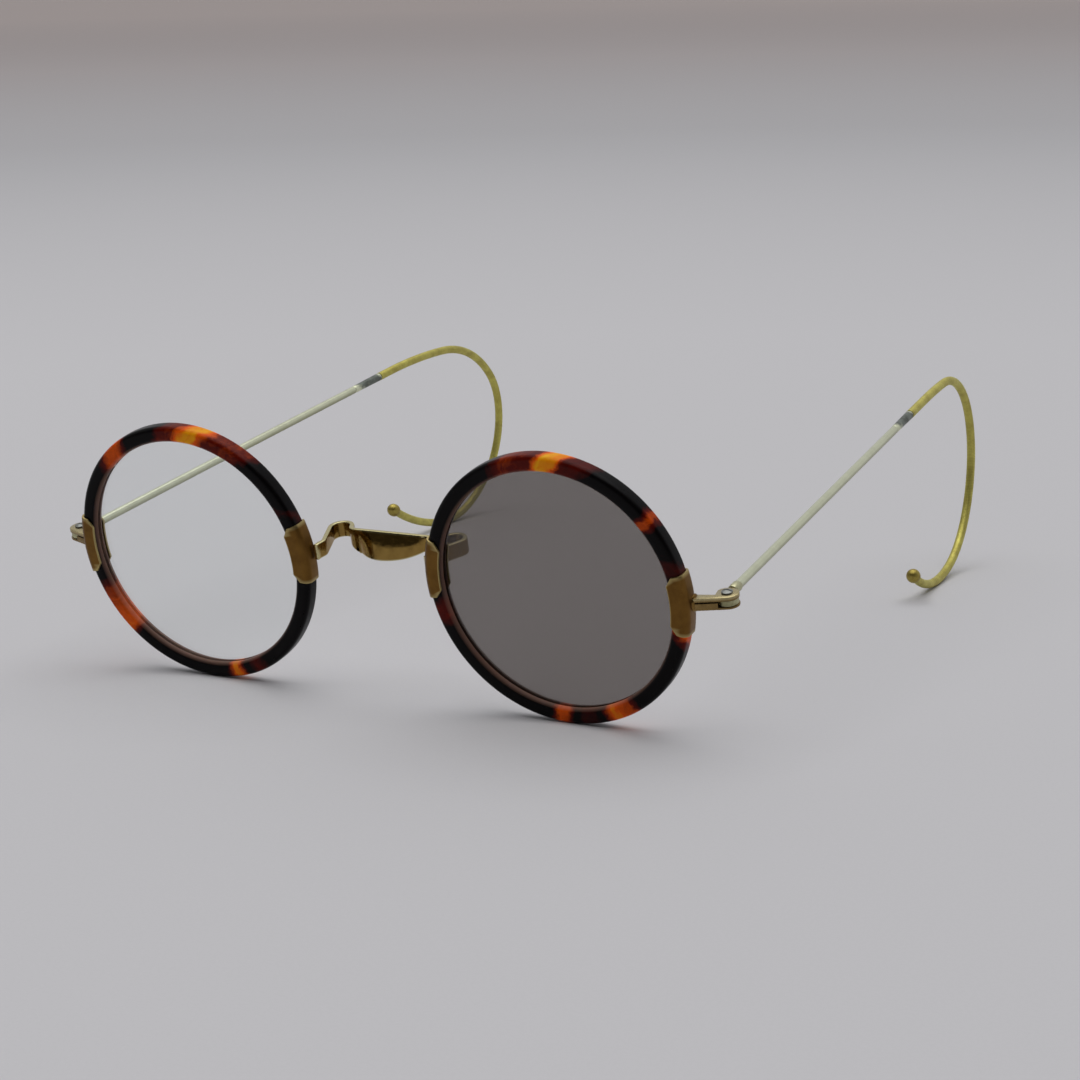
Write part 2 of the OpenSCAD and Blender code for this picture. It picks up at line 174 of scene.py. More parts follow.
class Finishes(bpy.types.PropertyGroup):
    """Colours of the rims, the lenses, the metals and the table"""
    shell_black: paint("Shell black", "Darkest parts of the mottled rims", (7, 5, 6))
    shell_brown: paint("Shell brown", "Red-brown parts of the mottled rims", (92, 14, 4))
    shell_orange: paint("Shell orange", "Orange parts of the mottled rims", (240, 96, 12))
    shell_amber: paint("Shell amber", "Clearest yellow parts of the mottled rims", (255, 194, 22))
    clear_glass: paint("Clear glass", "Colour of the clear lens", (250, 252, 252))
    grey_glass: paint("Grey glass", "Colour that the grey lens lets through", (131, 125, 122))
    clamp_bronze: paint("Clamp bronze", "Patinated brass of the clamps", (118, 86, 40))
    bridge_brass: paint("Bridge brass", "Worn brass of the bridge and hinges", (150, 122, 66))
    wire_pale: paint("Wire", "Pale metal of the straight wires", (218, 221, 192))
    solder_grey: paint("Solder", "Grey solder of the splices", (120, 126, 118))
    cable_olive: paint("Cable", "Olive brass of the wound cables", (208, 200, 108))
    screw_silver: paint("Screw", "Grey metal of the hinge screws", (140, 142, 138))
    edge_wear_and_highlight: bpy.props.FloatProperty(name="Edge wear", description="How much brighter the rubbed edges are",
                                       default=0.6, min=0, max=1, subtype="FACTOR")
    table_grey: paint("Table", "Colour of the plain table", (206, 205, 207))


# Places in the spectacles' own frames

def sizes():
    """Every size in millimetres, by name, with what follows from it."""
    scene = bpy.context.scene
    groups = (scene.spectacles_front, scene.spectacles_hinge)
    s = SimpleNamespace(**{name: getattr(group, name) * 1000
                           for group in groups for name in group.__annotations__})
    s.rim_r = s.rim_d / 2
    s.rim_in_r = s.rim_r - s.rim_width
    s.lens_r = s.rim_in_r + s.lens_grip
    s.gap = 0.02  # between pieces that are fixed to each other
    s.play = 0.05  # between the tongue and each leaf of the fork
    s.web_r = s.rim_r + s.gap + s.clamp_sheet
    s.hinge_x = s.rim_spacing / 2 + s.rim_r + s.hinge_out
    s.tongue_top = s.arm_top - s.upper_leaf - s.play
    s.butt_from = s.eye_r + 0.2
    s.butt_length = 2.2
    s.butt_d = s.core_d + 0.7
    s.cable_from = s.splice_from + s.splice_length
    return s


def stand(s):
    """From the front's own plane, in millimetres, to the leaning spectacles on the table."""
    lean = atan2(-HINGE["axis"][1], HINGE["axis"][2])
    y, z = HINGE["pos_m"][1] * 1000, HINGE["pos_m"][2] * 1000
    return (Matrix.Translation((0, y - s.hinge_back * cos(lean), z - s.hinge_back * sin(lean)))
            @ Matrix.Rotation(lean, 4, "X"))


def on_side(side):
    """The left side is built, and the right one mirrors it."""
    return Matrix.Diagonal((side, 1, 1, 1))


def eye_place(s, side):
    """X points out from the middle of an eye, Y up and Z forward."""
    return stand(s) @ on_side(side) @ Matrix.Translation((s.rim_spacing / 2, 0, 0)) @ UPRIGHT


def hinge_place(s, side):
    return stand(s) @ on_side(side) @ Matrix.Translation((s.hinge_x, s.hinge_back, 0))


def word(side):
    return "left" if side == LEFT else "right"


def curl_bends(s, side):
    """Where each bend of a curl starts, with its radius and angle, and where and how the last one ends."""
    shape = temple_shape(side)
    y, z, heading = s.cable_from + shape.straight * 1000, 0.0, 0.0
    starts = []
    for r, angle in zip(shape.radii, shape.turns):
        r *= 1000
        starts.append((y, z, heading, r, angle))
        y += r * (sin(heading) - sin(heading - angle))
        z += r * (cos(heading - angle) - cos(heading))
        heading -= angle
    return starts, (y, z, heading)


def temple_shape(side):
    """How one temple is bent: its lengths in metres, its angles in radians."""
    temples = bpy.context.scene.spectacles_temples
    names = ("rise", "toe", "droop", "cant", "straight", "radii", "turns")
    return SimpleNamespace(**{name: getattr(temples, f"{word(side)}_{name}") for name in names})


def temple_place(s, side):
    """Y runs along the temple wire and Z up across it."""
    t = temple_shape(side)
    return (hinge_place(s, side) @ Matrix.Translation((0, 0, t.rise * 1000))
            @ Matrix.Rotation(t.toe, 4, "Z") @ Matrix.Rotation(-t.droop, 4, "X")
            @ Matrix.Rotation(t.cant, 4, "Y"))


# Making and finishing meshes

def chain(bm, points, closed=False):
    """A chain of edges through a few points."""
    verts = [bm.verts.new(p) for p in points]
    pairs = list(zip(verts, verts[1:])) + ([(verts[-1], verts[0])] if closed else [])
    return verts + [bm.edges.new(p) for p in pairs]


def spin(bm, geom, axis, angle, steps, centre=(0, 0, 0), merge=False):
    """Sweeps geometry round an axis and gives what it ends on."""
    return bmesh.ops.spin(bm, geom=geom, cent=centre, axis=axis, dvec=(0, 0, 0), angle=angle, steps=steps,
                          use_merge=merge, use_duplicate=False)["geom_last"]


def revolve(bm, geom, axis=(0, 1, 0), steps=32):
    spin(bm, geom, axis, tau, steps, merge=True)
    bmesh.ops.remove_doubles(bm, verts=bm.verts, dist=1e-4)


def ring_from(profile, steps, closed=False):
    """A ring or disc round Z, turned from points of (radius, height)."""
    bm = bmesh.new()
    revolve(bm, chain(bm, [(r, 0, z) for r, z in profile], closed), (0, 0, 1), steps)
    return bm


def rod_from(profile, steps=32):
    """A rod along Y, turned from points of (radius, length)."""
    bm = bmesh.new()
    revolve(bm, chain(bm, [(r, y, 0) for r, y in profile]), steps=steps)
    return bm


def plate(bm, outline, low, high, round_by=0.0):
    """A flat plate with an outline in the XY plane, its edges rounded a little."""
    verts = [bm.verts.new((x, y, low)) for x, y in outline]
    face = bm.faces.new(verts)
    moved = of_kind(bmesh.ops.extrude_face_region(bm, geom=[face])["geom"], BMVert)
    bmesh.ops.translate(bm, verts=moved, vec=(0, 0, high - low))
    if round_by:
        faces = {f for v in verts + moved for f in v.link_faces}
        rims = {e for f in faces for e in f.edges if abs(e.verts[0].co.z - e.verts[1].co.z) < 1e-6}
        soften(bm, list(rims), round_by)


def soften(bm, edges, width, segments=2):
    """Rounds edges, and marks the rounded faces for a brighter colour: partly rubbed wear, partly painted
    highlight.
    """
    worn = bm.verts.layers.float.get("worn") or bm.verts.layers.float.new("worn")
    made = bmesh.ops.bevel(bm, geom=edges, offset=width, offset_type="OFFSET", segments=segments,
                           profile=0.5, affect="EDGES", clamp_overlap=True, material=-1)
    for face in made["faces"]:
        for vert in face.verts:
            vert[worn] = 1.0


def sharp_edges(bm, angle=50):
    return [e for e in bm.edges if len(e.link_faces) == 2 and e.calc_face_angle(0) > radians(angle)]


def of_kind(geom, kind):
    return [g for g in geom if isinstance(g, kind)]


def arc(cx, cy, r, start, end, steps):
    return [(cx + r * cos(a), cy + r * sin(a))
            for a in (radians(start + (end - start) * i / steps) for i in range(steps + 1))]


def touching(start, centre, r):
    """The angle, in degrees, at which a line from start meets a circle without a kink."""
    d = centre - start
    return degrees(atan2(d.y, d.x) - asin(r / d.length)) - 90


def add_object(name, data):
    made = bpy.data.objects.new(name, data)
    bpy.context.scene.collection.objects.link(made)
    return made


def add_mesh(name, bm, material):
    mesh = bpy.data.meshes.new(name)
    bm.to_mesh(mesh)
    bm.free()
    mesh.materials.append(material)
    return add_object(name, mesh)


def piece_from(bm, node, kind, place, material, crease=38, body="front"):
    """Sets a mesh in its place and makes it a piece that stands for a CAD node."""
    bm.transform(Matrix.Scale(0.001, 4) @ place)
    bmesh.ops.recalc_face_normals(bm, faces=bm.faces)
    for face in bm.faces:
        face.smooth = True
    for edge in bm.edges:
        if len(edge.link_faces) == 2 and edge.calc_face_angle(0) > radians(crease):
            edge.smooth = False
    piece = add_mesh(f"{node}_{kind}", bm, material)
    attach(piece, body)
    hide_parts(node)
    return piece


def temple_piece(bm, s, side, node, kind, material, place=None):
    """A piece of one temple, in the frame of its wire where no other place is given."""
    place = temple_place(s, side) if place is None else place
    piece_from(bm, f"{word(side)}_{node}", kind, place, material, body=word(side) + "_temple")


def dress(node, material):
    """Gives a CAD node that is shown as it is another material."""
    for slot in frame["nodes"][node].material_slots:
        slot.material = material


# Materials

def node_group(name, inputs, outputs):
    """A new group with its inner ends. An input is the kind of its socket, or a number to start from."""
    tree = bpy.data.node_groups.get(name)
    if tree:
        return tree, None, None
    tree = bpy.data.node_groups.new(name, "ShaderNodeTree")
    for label, given in inputs.items():
        number = isinstance(given, float)
        made = tree.interface.new_socket(name=label, in_out="INPUT",
                                         socket_type="NodeSocket" + ("Float" if number else given))
        if number:
            made.default_value = given
    for label, kind in outputs.items():
        tree.interface.new_socket(name=label, in_out="OUTPUT", socket_type="NodeSocket" + kind)
    return tree, tree.nodes.new("NodeGroupInput").outputs, tree.nodes.new("NodeGroupOutput")


def feed(socket, value):
    """Links an output to a socket, or writes a constant on it."""
    if isinstance(value, bpy.types.NodeSocket):
        socket.id_data.links.new(value, socket)
    else:
        socket.default_value = value


def fill(node, **values):
    """Feeds the named inputs of a node. An underscore stands for a space."""
    for name, value in values.items():
        feed(node.inputs[name.replace("_", " ")], value)


def new_node(kind, *values):
    """A node in the tree that the first output among the values belongs to."""
    return next(v for v in values if isinstance(v, bpy.types.NodeSocket)).id_data.nodes.new(kind)


def math_node(operation, *values, clamp=False):
    node = new_node("ShaderNodeMath", *values)
    node.operation, node.use_clamp = operation, clamp
    for socket, value in zip(node.inputs, values):
        feed(socket, value)
    return node.outputs[0]


def times(a, b):
    return math_node("MULTIPLY", a, b)


def plus(a, b, clamp=False):
    return math_node("ADD", a, b, clamp=clamp)


def map_range(value, low, high, to_low, to_high):
    node = new_node("ShaderNodeMapRange", value)
    fill(node, Value=value, From_Min=low, From_Max=high, To_Min=to_low, To_Max=to_high)
    return node.outputs["Result"]


def mix_colour(factor, a, b):
    node = new_node("ShaderNodeMix", factor)
    node.data_type = "RGBA"
    for index, value in ((0, factor), (6, a), (7, b)):
        feed(node.inputs[index], value)
    return node.outputs[2]


def noise(vector, scale, detail, roughness, distortion=0.0):
    node = new_node("ShaderNodeTexNoise", vector)
    fill(node, Vector=vector, Scale=scale, Detail=detail, Roughness=roughness, Distortion=distortion)
    return node.outputs[0]


def mapped(vector, **values):
    node = new_node("ShaderNodeMapping", vector)
    fill(node, Vector=vector, **values)
    return node.outputs[0]


def split(vector):
    """The three parts of a vector."""
    node = new_node("ShaderNodeSeparateXYZ", vector)
    feed(node.inputs[0], vector)
    return node.outputs


def ramp(value, *stops):
    """A colour ramp with stops of (place, colour)."""
    node = new_node("ShaderNodeValToRGB", value)
    elements = node.color_ramp.elements
    for element, (place, colour) in zip(elements, (stops[0], stops[-1])):
        element.position, element.color = place, colour
    for place, colour in stops[1:-1]:
        elements.new(place).color = colour
    feed(node.inputs["Fac"], value)
    return node.outputs["Color"]


def attribute(vector, name):
    node = new_node("ShaderNodeAttribute", vector)
    node.attribute_name = name
    return node.outputs["Fac"]


def handled_metal():
    """Old metal: soft patches of tarnish, fine scratches, and edges brightened partly by rubbing and partly
    by a painted highlight.
    """
    tree, start, end = node_group(
        "handled metal",
        {"Vector": "Vector", "Metal": "Color", "Tarnish": "Color", "Bright": "Color",
         "Tarnish Amount": 0.5, "Wear": 0.0, "Roughness": 0.25},
        {"Colour": "Color", "Roughness": "Float", "Height": "Float"})
    if start is None:
        return tree
    vector = start["Vector"]
    patches = noise(vector, 420, 4, 0.6)
    specks = noise(vector, 3200, 3, 0.6)
    scratches = noise(mapped(vector, Scale=(1, 9, 1), Rotation=(0.3, 0.2, 0.5)), 900, 2, 0.5)
    amount = start["Tarnish Amount"]
    tarnish = times(map_range(patches, 0.38, 0.66, 0, 1), amount)
    spots = times(map_range(specks, 0.58, 0.7, 0, 0.35), amount)
    tarnish = plus(tarnish, spots, clamp=True)
    colour = mix_colour(tarnish, start["Metal"], start["Tarnish"])
    # Marked edges take a brighter colour: partly rubbed wear, partly painted highlight.
    colour = mix_colour(start["Wear"], colour, start["Bright"])
    rough = math_node("MULTIPLY_ADD", tarnish, 0.14, start["Roughness"])
    rough = plus(rough, map_range(scratches, 0.45, 0.62, -0.04, 0.08), clamp=True)
    height = math_node("MULTIPLY_ADD", scratches, 0.6, times(specks, 0.5))
    fill(end, Colour=colour, Roughness=rough, Height=height)
    return tree


def ring_turn():
    """How far round a rim a point lies, from 0 to 1, with raked and wandering borders, and fine streaks."""
    tree, start, end = node_group(
        "ring turn",
        {"Vector": "Vector", "Wander": 0.02, "Middle": 0.02, "Front": 0.0014,
         "Lean Out": 5.0, "Lean Back": 4.5},
        dict.fromkeys(("Turn", "Square Turn", "Mottle", "Streak", "Inside"), "Float"))
    if start is None:
        return tree
    vector = start["Vector"]
    x, y, z = split(vector)
    angle = math_node("DIVIDE", math_node("ARCTAN2", y, x), tau)
    radius = math_node("SQRT", math_node("MULTIPLY_ADD", x, x, times(y, y)))
    out = math_node("SUBTRACT", radius, start["Middle"])
    behind = times(math_node("SUBTRACT", start["Front"], z), start["Lean Back"])
    raked = math_node("MULTIPLY_ADD", out, start["Lean Out"], behind)
    wander = math_node("SUBTRACT", noise(vector, 520, 3, 0.55, 0.4), 0.5)
    square = math_node("MULTIPLY_ADD", wander, start["Wander"], angle)
    place = plus(square, raked)
    flow = new_node("ShaderNodeCombineXYZ", vector)
    for value, scale, socket in zip((place, out, z), (90.0, 260.0, 260.0), flow.inputs):
        feed(socket, times(value, scale))
    # The last output marks the rim's inner wall, where the shell material paints a sheen.
    fill(end, Turn=math_node("FRACT", plus(place, 1.0)),
         Square_Turn=math_node("FRACT", plus(square, 1.0)),
         Mottle=noise(vector, 900, 5, 0.65, 0.6), Streak=noise(flow.outputs[0], 1.0, 4, 0.6, 0.8),
         Inside=map_range(out, -0.00125, -0.0008, 1, 0))
    return tree


def new_material(name):
    material = bpy.data.materials.new(name)
    material.use_nodes = True
    tree = material.node_tree
    shader = next(n for n in tree.nodes if n.type == "BSDF_PRINCIPLED")
    return material, shader, tree.nodes.new("ShaderNodeTexCoord").outputs["Object"]


def use_group(group, **values):
    node = new_node("ShaderNodeGroup", *values.values())
    node.node_tree = group
    fill(node, **values)
    return node.outputs


def bump(height, shader, strength, distance):
    node = new_node("ShaderNodeBump", height)
    fill(node, Strength=strength, Distance=distance, Height=height)
    feed(shader.inputs["Normal"], node.outputs[0])


def colour_of(finish):
    """The linear colour of a finish, given by its name or as 0 to 255."""
    if isinstance(finish, str):
        return tuple(getattr(bpy.context.scene.spectacles_finishes, finish)) + (1.0,)
    return linear(finish)


def metal_look(vector, metal, tarnish, bright, amount, wear, roughness):
    """Colour, roughness and height of handled metal, from the names of finishes or sRGB colours."""
    return use_group(handled_metal(), Vector=vector, Metal=colour_of(metal), Tarnish=colour_of(tarnish),
                     Bright=colour_of(bright), Tarnish_Amount=amount, Wear=wear, Roughness=roughness)


def metal_material(name, metal, tarnish, bright, amount, roughness, strength=0.25, worn_and_highlighted_edges=True,
                   under=0.0):
    """Handled metal. Its edges are brightened, partly rubbed wear and partly painted highlight, and under
    paints shade, in the tarnish colour, on what faces the table.

    Strength 0 leaves a drawn wire smooth, as scratches would ring it.
    """
    material, shader, vector = new_material(name)
    wear = 0.0
    # The marked edges' brighter colour is partly wear and partly painted highlight.
    if worn_and_highlighted_edges:
        wear = times(attribute(vector, "worn"), bpy.context.scene.spectacles_finishes.edge_wear_and_highlight)
    look = metal_look(vector, metal, tarnish, bright, amount, wear, roughness)
    colour = look["Colour"]
    # Painted shade: what faces the table is mixed towards the tarnish colour, the more the further it faces
    # down.
    if under:
        up = split(new_node("ShaderNodeNewGeometry", vector).outputs["Normal"])["Z"]
        colour = mix_colour(map_range(up, -0.7, 0.45, under, 0.0), colour, colour_of(tarnish))
    fill(shader, Metallic=1.0, Base_Color=colour, Roughness=roughness)
    if strength:
        fill(shader, Roughness=look["Roughness"])
        bump(look["Height"], shader, strength, SCRATCH)
    return material


def shell_material(name, s, side, patches):
    """Mottled celluloid, black where no patch lies, with a painted sheen on the inner wall."""
    material, shader, vector = new_material(name)
    back = (stand(s) @ Matrix.Translation((side * s.rim_spacing / 2, 0, 0)) @ UPRIGHT).inverted()
    local = mapped(vector, Location=Vector(back.translation) / 1000, Rotation=back.to_euler())
    ring = use_group(ring_turn(), Vector=local, Wander=0.02, Middle=(s.rim_r - s.rim_width / 2) / 1000,
                     Front=s.rim_depth / 2000)
    tone = 0.1
    for first, last, start, end, soft, raked in patches:
        place = ring["Turn" if raked else "Square Turn"]
        rise = map_range(place, (first - soft) / 360, (first + soft) / 360, 0, 1)
        fall = map_range(place, (last - soft) / 360, (last + soft) / 360, 1, 0)
        level = map_range(place, first / 360, last / 360, start, end)
        patch = times(level, times(rise, fall))
        tone = math_node("MAXIMUM", tone, patch)
    grain = plus(map_range(ring["Streak"], 0.3, 0.7, -0.045, 0.045),
                 map_range(ring["Mottle"], 0.35, 0.65, -0.02, 0.02))
    tone = math_node("MULTIPLY_ADD", grain, map_range(tone, 0.1, 0.5, 0.4, 1.0), tone, clamp=True)
    tones = ((0.0, "shell_black"), (0.24, "shell_black"), (0.44, "shell_brown"), (0.7, "shell_orange"),
             (1.0, "shell_amber"))
    shade = ramp(tone, *((place, colour_of(finish)) for place, finish in tones))
    # Painted sheen: the inner wall is mixed towards a pale pink-brown, as a glossy wall seen at a grazing
    # angle reflects the bright room.
    inside = times(ring["Inside"], 0.4)
    fill(shader, Base_Color=mix_colour(inside, shade, linear((176, 138, 122))),
         Roughness=map_range(ring["Mottle"], 0.3, 0.7, 0.26, 0.36), IOR=1.5, Specular_IOR_Level=0.08,
         Subsurface_Weight=0.15, Subsurface_Radius=(1.0, 0.35, 0.1), Subsurface_Scale=0.0008)
    bump(ring["Mottle"], shader, 0.08, 0.00003)
    return material


def glass_material(name, colour):
    material, shader, vector = new_material(name)
    dust = map_range(noise(vector, 260, 4, 0.6), 0.55, 0.8, 0.0, 0.02)
    fill(shader, Base_Color=colour, Transmission_Weight=1.0, IOR=1.5, Roughness=dust)
    return material


def cable_material(s):
    """Olive brass with a height for each fine turn of wire round the core, and painted shade in the groove
    between turns.
    """
    material, shader, vector = new_material("wound cable")
    uv = new_node("ShaderNodeUVMap", vector)
    uv.uv_map = "winding"
    along, around, _ = split(uv.outputs[0])
    winding = plus(math_node("DIVIDE", along, s.winding), around)
    across = math_node("MULTIPLY_ADD", math_node("FRACT", winding), 2.0, -1.0)
    square = times(across, across)
    height = math_node("SQRT", math_node("SUBTRACT", 1.02, square))
    # Painted shade: the groove between two turns is darkened towards a dark olive.
    groove = times(math_node("POWER", square, 3.0), 0.55)
    look = metal_look(vector, "cable_olive", (128, 104, 52), "cable_olive", 0.35, 0.0, 0.5)
    fill(shader, Metallic=1.0, Roughness=look["Roughness"],
         Base_Color=mix_colour(groove, look["Colour"], linear((70, 58, 24))))
    bump(height, shader, 0.35, 0.00006)
    return material


# The pieces

def section_of_rim(s, grow=0.0):
    """Rounded outline of the rim's section, from the groove round to the groove."""
    w, d, r = s.rim_width / 2 + grow, s.rim_depth / 2 + grow, s.rim_round + grow
    middle = s.rim_r - s.rim_width / 2
    points = []
    for right, up, start in ((-1, -1, 180), (1, -1, 270), (1, 1, 0), (-1, 1, 90)):
        points += arc(middle + right * (w - r), up * (d - r), r, start, start + 90, 8)
    return points


class SPECTACLES_OT_rims(bpy.types.Operator):
    """Both mottled rims, spun from a rounded section with a groove for the lens"""
    bl_idname = "spectacles.rims"
    bl_label = "Rims"

    def execute(self, context):
        s = sizes()
        play = 0.03  # round the lens, wider than the bevel's own gap
        half = s.lens_edge / 2 + play
        shoulder = s.lens_r + s.gap - s.lens_edge / 2
        groove = [(s.rim_in_r, half), (shoulder, half), (s.lens_r + play, 0), (shoulder, -half),
                  (s.rim_in_r, -half)]
        for side in SIDES:
            bm = ring_from(section_of_rim(s) + groove, 144, closed=True)
            node = word(side) + "_rim"
            piece_from(bm, node, "shell", eye_place(s, side),
                       shell_material(node + " shell", s, side, PATCHES[side]))
        return {"FINISHED"}


class SPECTACLES_OT_lenses(bpy.types.Operator):
    """The clear and the grey lens, each spun from a thin curved section with a bevelled edge"""
    bl_idname = "spectacles.lenses"
    bl_label = "Lenses"

    def execute(self, context):
        s = sizes()
        edge_r = s.lens_r - s.lens_edge / 2
        rings = 16

        def face(curve, edge):
            """One face of a lens, from its middle out to its edge."""
            low = sqrt(curve ** 2 - edge_r ** 2)
            out = [edge_r * i / rings for i in range(rings + 1)]
            return [(r, sqrt(curve ** 2 - r ** 2) - low + edge) for r in out]

        front, back = face(s.lens_front_r, s.lens_edge / 2), face(s.lens_back_r, -s.lens_edge / 2)
        tints = {LEFT: ("grey_lens", "grey_glass"), RIGHT: ("clear_lens", "clear_glass")}
        for side in SIDES:
            bm = ring_from(front + [(s.lens_r, 0)] + back[::-1], 96)
            slot, colour = tints[side]
            glass = glass_material(slot.replace("_", " "), colour_of(colour))
            piece = piece_from(bm, word(side) + "_lens", "glass", eye_place(s, side), glass, 30)
            piece.visible_shadow = False
        return {"FINISHED"}


class SPECTACLES_OT_clamps(bpy.types.Operator):
    """The four brass clamps, bent round the rims, with cut corners and rounded edges, brightened by wear and
    a painted highlight
    """
    bl_idname = "spectacles.clamps"
    bl_label = "Clamps"

    def execute(self, context):
        s = sizes()
        bronze = metal_material("clamp bronze", "clamp_bronze", (92, 64, 28), (196, 180, 124), 0.5, 0.34)
        flat = s.rim_r - s.rim_width / 2
        outer = [p for p in section_of_rim(s, s.gap + s.clamp_sheet) if p[0] > flat]
        inner = [p for p in section_of_rim(s, s.gap) if p[0] > flat]
        tip = s.rim_r - s.clamp_reach - 0.1  # a little longer, as the edges are rubbed
        inset = tip + 0.22
        half_in = s.rim_depth / 2 + s.gap
        half_out = half_in + s.clamp_sheet
        outline = ([(tip, -half_out), (inset, -half_out)] + outer + [(inset, half_out), (tip, half_out)]
                   + [(tip, half_in), (inset, half_in)] + inner[::-1] + [(inset, -half_in), (tip, -half_in)])
        span = s.clamp_length / s.rim_r
        for side in SIDES:
            for kind, middle in (("nose", pi - asin(s.nose_clamp_rise / s.rim_r)), ("hinge", 0.0)):
                bm = bmesh.new()
                face = bm.faces.new([bm.verts.new((x, 0, z)) for x, z in outline])
                spin(bm, [face, *face.edges, *face.verts], (0, 0, 1), span, 14)
                for turned_by, sign in ((0.0, 1), (span, -1)):
                    end = Matrix.Rotation(turned_by, 3, "Z")
                    cut = bmesh.ops.bisect_plane(bm, geom=[*bm.verts, *bm.edges, *bm.faces], dist=1e-5,
                                                 plane_co=end @ Vector((tip + s.clamp_corner, 0, 0)),
                                                 plane_no=end @ Vector((-1, -sign, 0)).normalized(),
                                                 clear_outer=True)
                    bmesh.ops.holes_fill(bm, edges=of_kind(cut["geom_cut"], BMEdge), sides=0)
                soften(bm, sharp_edges(bm), 0.09)
                place = eye_place(s, side) @ Matrix.Rotation(middle - span / 2, 4, "Z")
                piece_from(bm, f"{word(side)}_{kind}_clamp", "sheet", place, bronze)
        return {"FINISHED"}


class SPECTACLES_OT_bridge(bpy.types.Operator):
    """The looped saddle bridge: one band, narrow in its loops and deep and swollen at the crest"""
    bl_idname = "spectacles.bridge"
    bl_label = "Bridge"

    blend_r = 1.0  # where a loop runs into the crest
    loop_end = 165.0
    foot_in = 0.2  # how far the soldered foot sinks towards the clamp
    foot_deep = 0.9  # how far back it stays sunk
    foot_clear = 0.32  # where the band leaves the clamp, behind its sheet
    rows, steps = 14, 48  # corners up the band and along the crest

    def half(self, s, side):
        """The middle of the band in plan, from its foot on a clamp to the crest."""
        end, blend = radians(self.loop_end), self.blend_r
        reach = s.loop_r + blend
        foot_x = s.rim_spacing / 2 - s.web_r - s.gap - s.band_thick / 2
        foot = Vector((foot_x, s.rim_depth / 2 + s.clamp_sheet + self.foot_clear))
        loop = Vector((s.loop_spacing / 2 + side * s.bridge_offset,
                       s.crest_back + blend - reach * sin(end)))
        crest_x = loop.x + reach * cos(end)
        sunk = foot_x + self.foot_in
        points = [(sunk, 0), (sunk, self.foot_deep), (foot_x, foot.y * 0.85), tuple(foot)]
        points += arc(loop.x, loop.y, s.loop_r, touching(foot, loop, s.loop_r), self.loop_end, 30)
        points += arc(crest_x, s.crest_back + blend, blend, self.loop_end - 190, -90, 6)
        return [(side * x, y) for x, y in points], crest_x

    def execute(self, context):
        s = sizes()
        (left_half, left_end), (right_half, right_end) = self.half(s, LEFT), self.half(s, RIGHT)
        crest = [(left_end - (left_end + right_end) * i / self.steps, s.crest_back)
                 for i in range(1, self.steps)]
        path = left_half + crest + right_half[::-1]
        top, bottom = s.band_top, s.band_top - s.crest_height
        loop_low = s.band_top - s.band_height
        narrow_from, narrow_over, spare = -0.6, 1.8, 0.1

        def low(x):
            """Height of the band's lower edge: a wide arc under the crest, a short slope up to each loop."""
            under = x + s.crest_low
            edge = bottom + s.crest_edge_r - sqrt(max(s.crest_edge_r ** 2 - under ** 2, 0))
            for out in (x - left_end, -right_end - x):
                slope = (out - narrow_from) / narrow_over
                edge = max(edge, bottom - spare + slope * (loop_low - bottom + spare))
            return min(loop_low, edge)

        bm = bmesh.new()
        geom = chain(bm, [(x, y, 0) for x, y in path])
        level = bm.verts.layers.int.new("level")
        bm.verts.layers.float.new("worn")
        edges = of_kind(geom, BMEdge)
        for row in range(1, self.rows + 1):
            made = bmesh.ops.extrude_edge_only(bm, edges=edges)["geom"]
            edges = of_kind(made, BMEdge)
            for vert in of_kind(made, BMVert):
                vert[level] = row
        for vert in bm.verts:
            floor = low(vert.co.x)
            vert.co.z = floor + (top - floor) * vert[level] / self.rows
        bmesh.ops.recalc_face_normals(bm, faces=bm.faces)
        bmesh.ops.solidify(bm, geom=[*bm.verts, *bm.edges, *bm.faces], thickness=s.band_thick)
        # The band has grown to one side, so it is moved back onto its middle line.
        middle = (left_end - right_end) / 2
        ys = [v.co.y for v in bm.verts if abs(v.co.x - middle) < 0.3]
        bmesh.ops.translate(bm, verts=bm.verts, vec=(0, s.crest_back - (min(ys) + max(ys)) / 2, 0))
        # The crest swells forward, most at its lower edge and not at all at its top edge and its ends.
        fade, nearly = 0.9, 0.12
        half_long = s.crest_length / 2 + fade
        swell = 1.4 * s.crest_swell / s.crest_height
        for vert in bm.verts:
            along = abs(vert.co.x - middle) / half_long
            height = top - low(vert.co.x)
            up = (vert.co.z - top + height) / height
            if along < 1 and abs(vert.co.y - s.crest_back) < s.band_thick / 2 + nearly:
                vert.co.y -= swell * height * (1 - along ** 4) * (1 - up * up)
        # The rounded edges take the brighter edge colour: rubbed wear and a painted highlight.
        soften(bm, sharp_edges(bm), 0.16, 3)
        brass = metal_material("bridge brass", "bridge_brass", (116, 88, 42), (226, 220, 170), 0.4, 0.14,
                               strength=0.12)
        piece_from(bm, "bridge", "band", stand(s), brass, 50)
        return {"FINISHED"}


